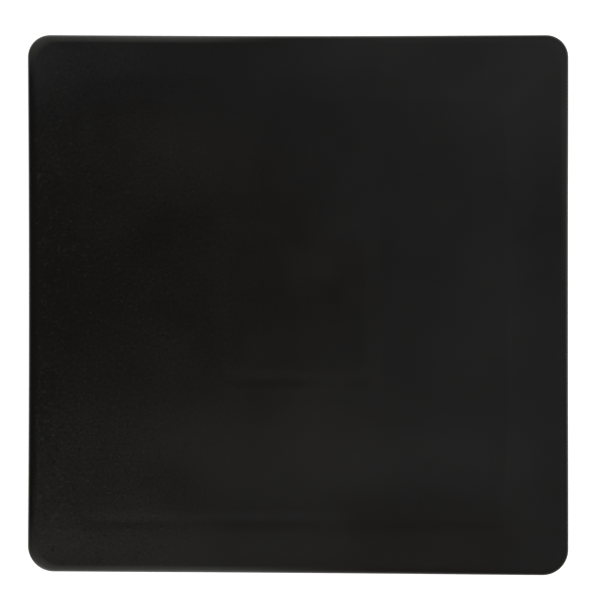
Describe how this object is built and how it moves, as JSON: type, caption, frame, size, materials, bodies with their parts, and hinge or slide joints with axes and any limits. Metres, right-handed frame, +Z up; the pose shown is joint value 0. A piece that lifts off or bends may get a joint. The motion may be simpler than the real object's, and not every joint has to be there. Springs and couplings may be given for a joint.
{
  "type": "square dinner plate",
  "caption": "Square stoneware dinner plate with a shallow well, gently lifted rounded edge, softly rounded corners and square foot rings under a near-black satin glaze.",
  "frame": {"origin": "on the table, under the middle of the plate", "axes": "+Z up out of the well, +X to the right and -Y towards the diner, as the picture shows the plate from above"},
  "size_m": [0.2699, 0.2698, 0.0129],
  "materials": {
    "bare_clay": "unglazed fired stoneware, wiped and ground on the foot faces",
    "black_glaze": "satin near-black glaze, faintly mottled, thinner over the edge"
  },
  "bodies": {
    "root": {"clay_body": "bare_clay", "outer_foot_ring": "bare_clay", "centre_foot_ring": "bare_clay", "face_glaze": "black_glaze", "underside_glaze": "black_glaze", "centre_glaze": "black_glaze"}
  },
  "joints": []
}
